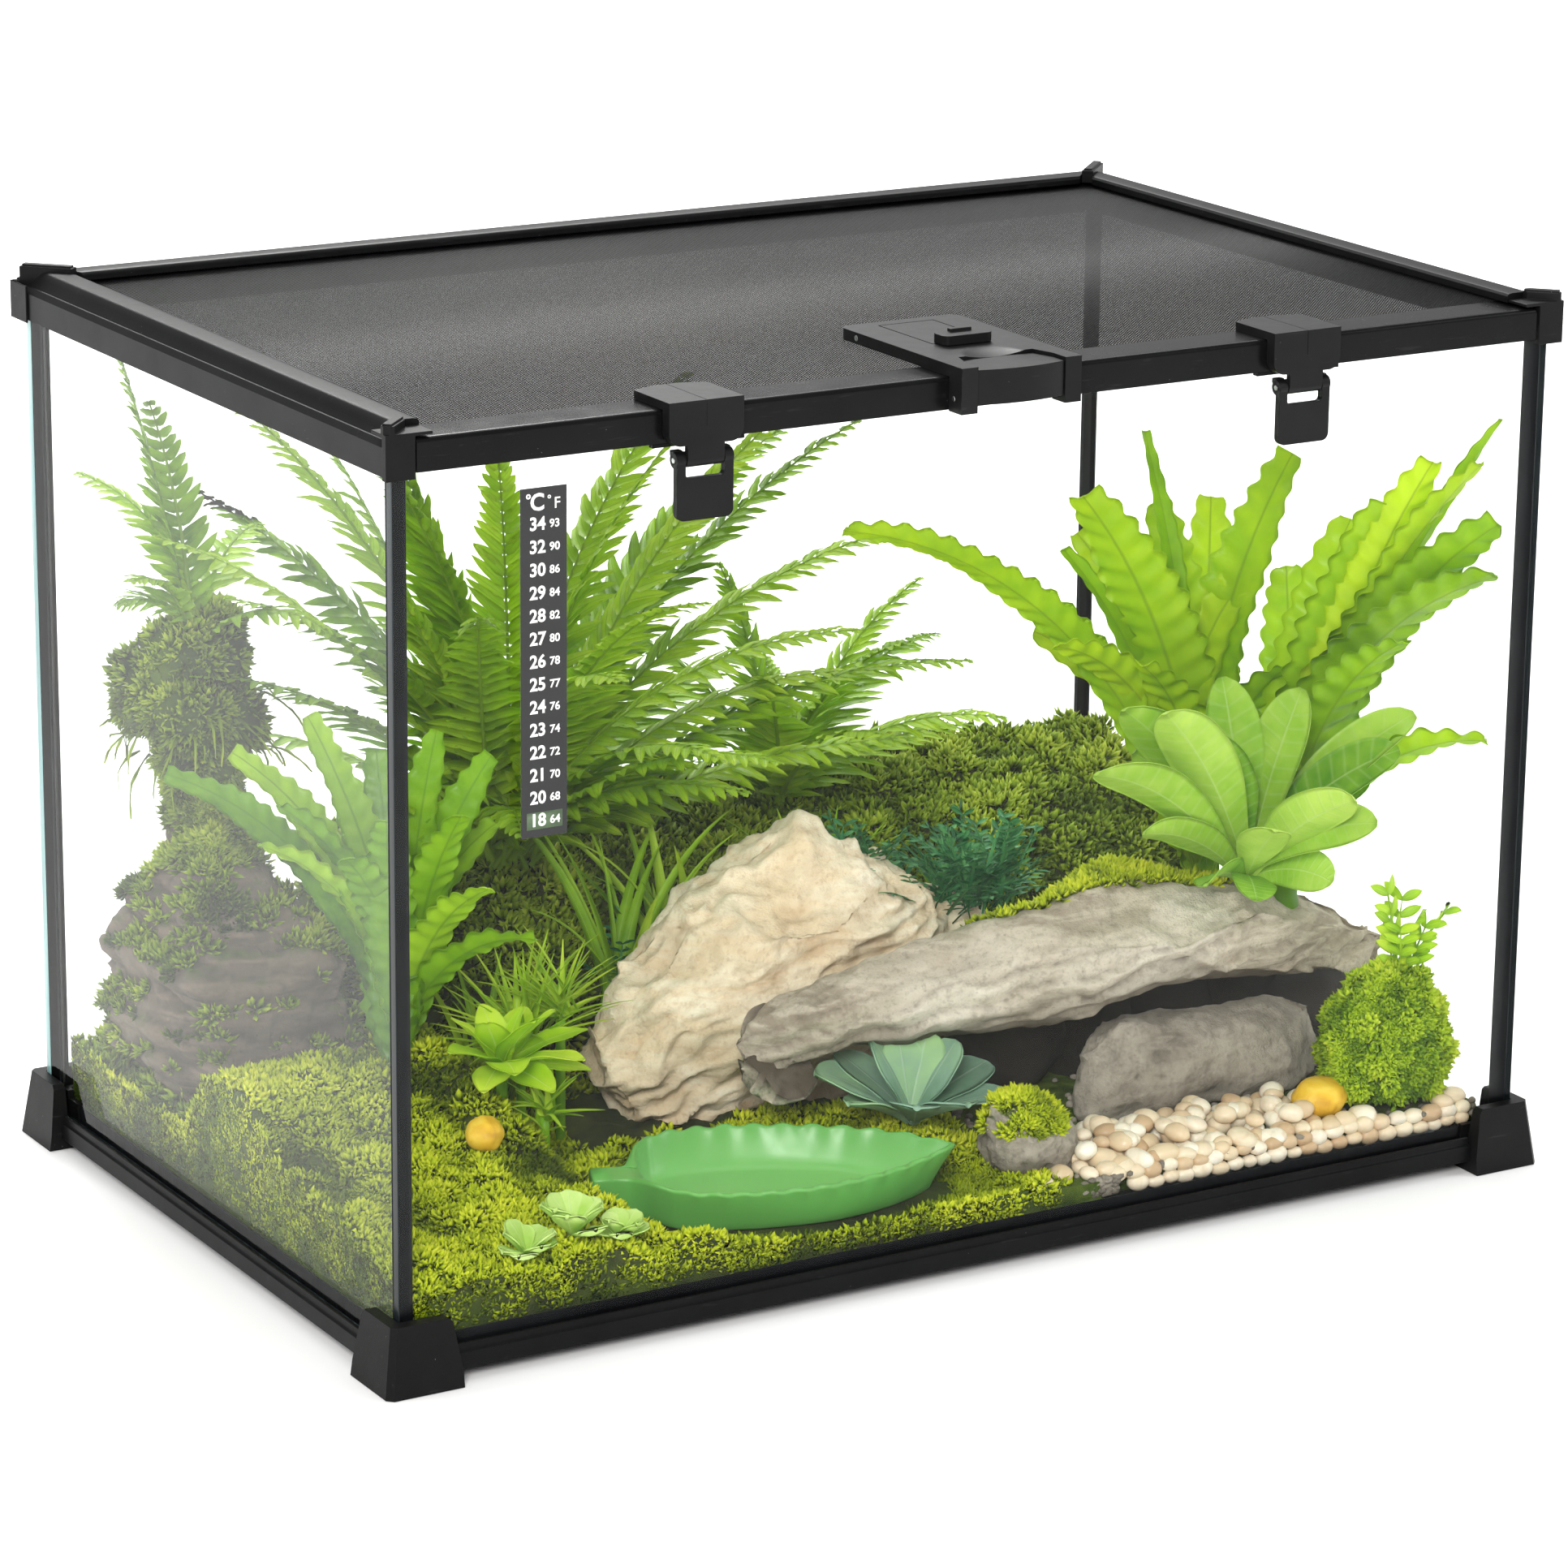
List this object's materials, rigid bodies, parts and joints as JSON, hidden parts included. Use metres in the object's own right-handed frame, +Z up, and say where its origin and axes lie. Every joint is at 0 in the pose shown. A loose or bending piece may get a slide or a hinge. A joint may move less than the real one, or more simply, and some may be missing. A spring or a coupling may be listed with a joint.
{
  "type": "reptile terrarium",
  "caption": "Planted glass reptile tank in a black frame with corner feet, a sliding screen lid with centre latch and lever clips, a stick-on thermometer and a leaf dish.",
  "frame": {"origin": "middle of the outer box in plan, at the underside of the four corner feet", "axes": "+X along the width to the right as seen from the front, +Y from the front pane to the rear, +Z up"},
  "size_m": [0.5106, 0.3339, 0.3555],
  "materials": {
    "clear_glass": "clear float glass with green edges",
    "black_silicone": "smooth cured silicone",
    "black_rail": "glossy extruded rail",
    "black_moulding": "fine satin moulding",
    "black_screen": "woven black screen",
    "steel": "plain steel pin",
    "strip": "printed adhesive strip",
    "soil": "loose bark and soil",
    "moss": "cushion moss",
    "dark_stone": "rough dark rock with moss",
    "grey_stone": "weathered grey rock",
    "sandstone": "chipped pale sandstone",
    "pebble": "smooth river pebble",
    "yellow_pebble": "polished yellow pebble",
    "foliage": "waxy leaf",
    "green_plastic": "matt moulded dish"
  },
  "bodies": {
    "tank": {"glass_front": "clear_glass", "glass_rear": "clear_glass", "glass_left": "clear_glass", "glass_right": "clear_glass", "glass_bottom": "clear_glass", "silicone_seams": "black_silicone", "bottom_rail_front": "black_rail", "bottom_rail_rear": "black_rail", "bottom_rail_left": "black_rail", "bottom_rail_right": "black_rail", "foot_front_left": "black_moulding", "foot_front_right": "black_moulding", "foot_rear_left": "black_moulding", "foot_rear_right": "black_moulding", "top_rail_left": "black_rail", "top_rail_right": "black_rail", "top_rail_rear": "black_rail", "front_glass_trim": "black_rail", "cap_front_left": "black_moulding", "cap_front_right": "black_moulding", "cap_rear_left": "black_moulding", "cap_rear_right": "black_moulding", "thermometer_strip": "strip", "substrate_bed": "soil", "moss_mound_left": "moss", "rear_mound": "moss", "rock_wall": "dark_stone", "sandstone_rock": "sandstone", "cave_slab": "grey_stone", "cave_boulder": "grey_stone", "small_grey_rock": "grey_stone", "river_pebbles": "pebble", "yellow_stones": "yellow_pebble", "moss_bush": "moss", "boston_fern": "foliage", "strap_fern": "foliage", "birds_nest_fern": "foliage", "large_rosette": "foliage", "grey_rosette": "foliage", "small_rosette": "foliage", "grass_tufts": "foliage"},
    "lid": {"lid_front_bar": "black_rail", "lid_rear_bar": "black_rail", "lid_left_bar": "black_rail", "lid_right_bar": "black_rail", "lid_screen": "black_screen", "latch_housing": "black_moulding", "latch_pin": "steel", "latch_screws": "steel", "clip_left_body": "black_moulding", "clip_left_pin": "steel", "clip_right_body": "black_moulding", "clip_right_pin": "steel"},
    "lever": {"latch_lever": "black_moulding"},
    "button": {"latch_button": "black_moulding"},
    "clip_flap_left": {"clip_left_lever": "black_moulding"},
    "clip_flap_right": {"clip_right_lever": "black_moulding"},
    "dish": {"leaf_dish": "green_plastic"}
  },
  "joints": [
    {"name": "lid_slide", "type": "slide", "parent": "tank", "child": "lid", "axis": [0, -1, 0], "range_m": [0, 0.25]},
    {"name": "latch_lever_hinge", "type": "hinge", "parent": "lid", "child": "lever", "pos_m": [0, -0.15955, 0.3386], "axis": [1, 0, 0], "range_deg": [0, 72]},
    {"name": "latch_button_slide", "type": "slide", "parent": "lid", "child": "button", "axis": [0, 1, 0], "range_m": [0, 0.006]},
    {"name": "clip_left_hinge", "type": "hinge", "parent": "lid", "child": "clip_flap_left", "pos_m": [-0.128, -0.15815, 0.328], "axis": [-1, 0, 0], "range_deg": [0, 110]},
    {"name": "clip_right_hinge", "type": "hinge", "parent": "lid", "child": "clip_flap_right", "pos_m": [0.128, -0.15815, 0.328], "axis": [-1, 0, 0], "range_deg": [0, 110]},
    {"name": "dish_lift", "type": "slide", "parent": "tank", "child": "dish", "axis": [0, 0, 1], "range_m": [0, 0.03]}
  ]
}
